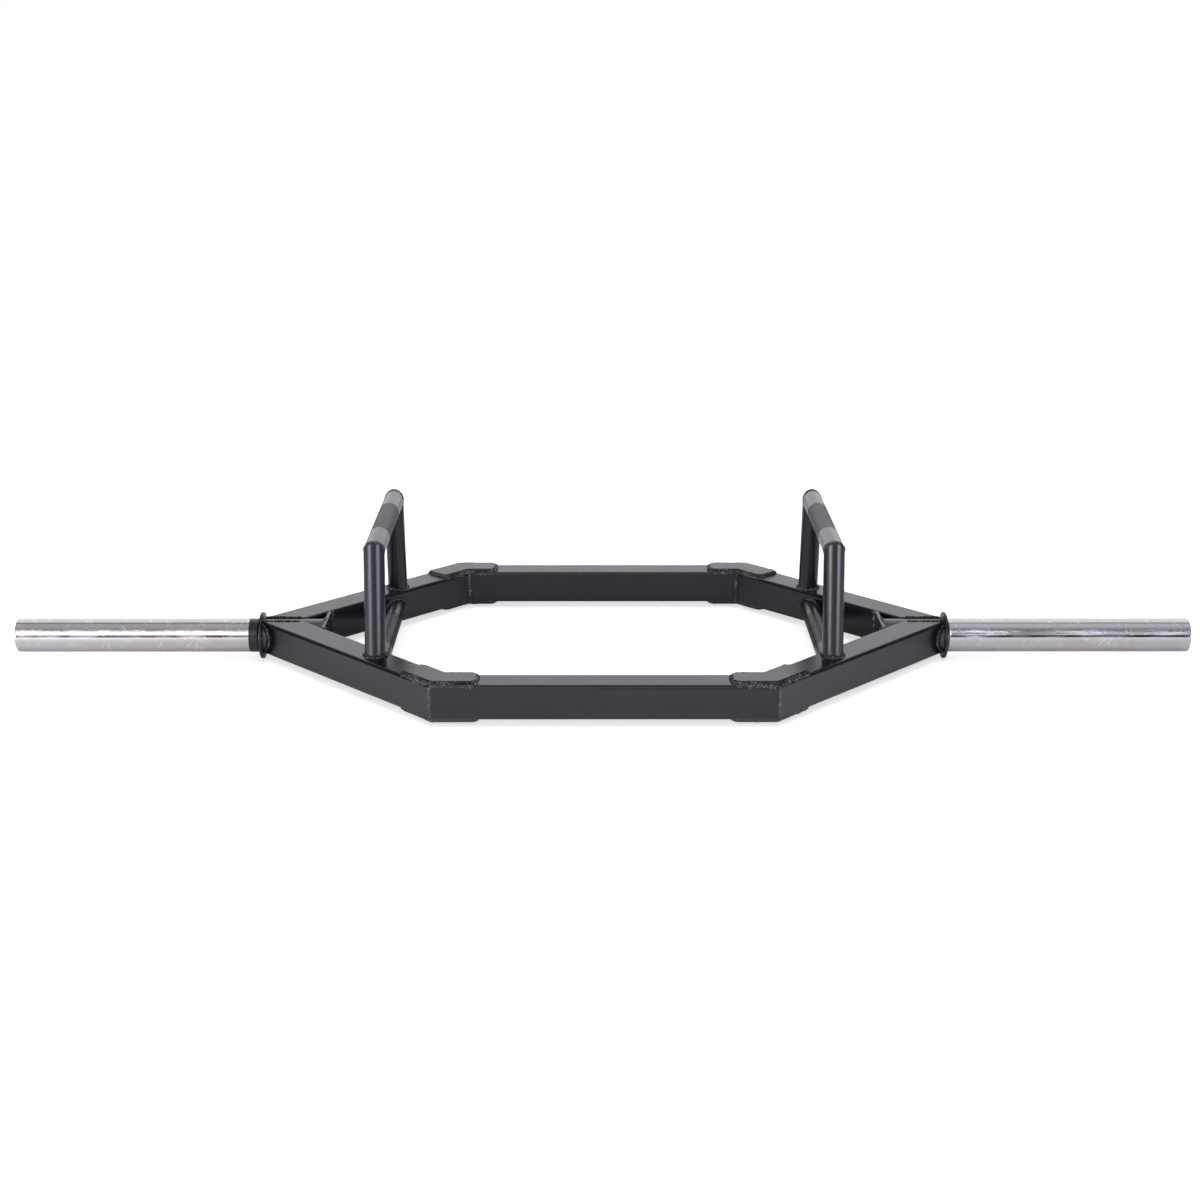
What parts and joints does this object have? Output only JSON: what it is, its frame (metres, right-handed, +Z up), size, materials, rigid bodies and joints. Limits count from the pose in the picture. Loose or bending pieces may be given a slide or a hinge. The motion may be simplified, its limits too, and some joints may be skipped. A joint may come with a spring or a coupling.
{
  "type": "hex trap bar",
  "caption": "Welded hexagonal lifting frame of square tube with chromed plate sleeves, raised grips on leaning posts and lower grips beside them.",
  "frame": {"origin": "under the middle of the bar, on the plane that its two collars stand on", "axes": "+X along the sleeves to the lifter's right, +Y to the rear rail, +Z up"},
  "size_m": [1.76, 0.61, 0.222],
  "materials": {
    "black_powder_coat": "satin black powder coat",
    "black_grip_coat": "satin black powder coat, knurled in the middle",
    "chrome_plate": "bright plating with light handling marks"
  },
  "bodies": {
    "root": {"front_rail": "black_powder_coat", "rear_rail": "black_powder_coat", "front_right_arm": "black_powder_coat", "front_right_top_gusset": "black_powder_coat", "front_right_bottom_gusset": "black_powder_coat", "front_right_post": "black_powder_coat", "front_left_arm": "black_powder_coat", "front_left_top_gusset": "black_powder_coat", "front_left_bottom_gusset": "black_powder_coat", "front_left_post": "black_powder_coat", "rear_right_arm": "black_powder_coat", "rear_right_top_gusset": "black_powder_coat", "rear_right_bottom_gusset": "black_powder_coat", "rear_right_post": "black_powder_coat", "rear_left_arm": "black_powder_coat", "rear_left_top_gusset": "black_powder_coat", "rear_left_bottom_gusset": "black_powder_coat", "rear_left_post": "black_powder_coat", "right_sleeve": "chrome_plate", "right_sleeve_plug": "chrome_plate", "right_collar": "black_powder_coat", "right_crotch_plate": "black_powder_coat", "right_raised_grip": "black_grip_coat", "right_lower_grip": "black_grip_coat", "left_sleeve": "chrome_plate", "left_sleeve_plug": "chrome_plate", "left_collar": "black_powder_coat", "left_crotch_plate": "black_powder_coat", "left_raised_grip": "black_grip_coat", "left_lower_grip": "black_grip_coat"}
  },
  "joints": []
}
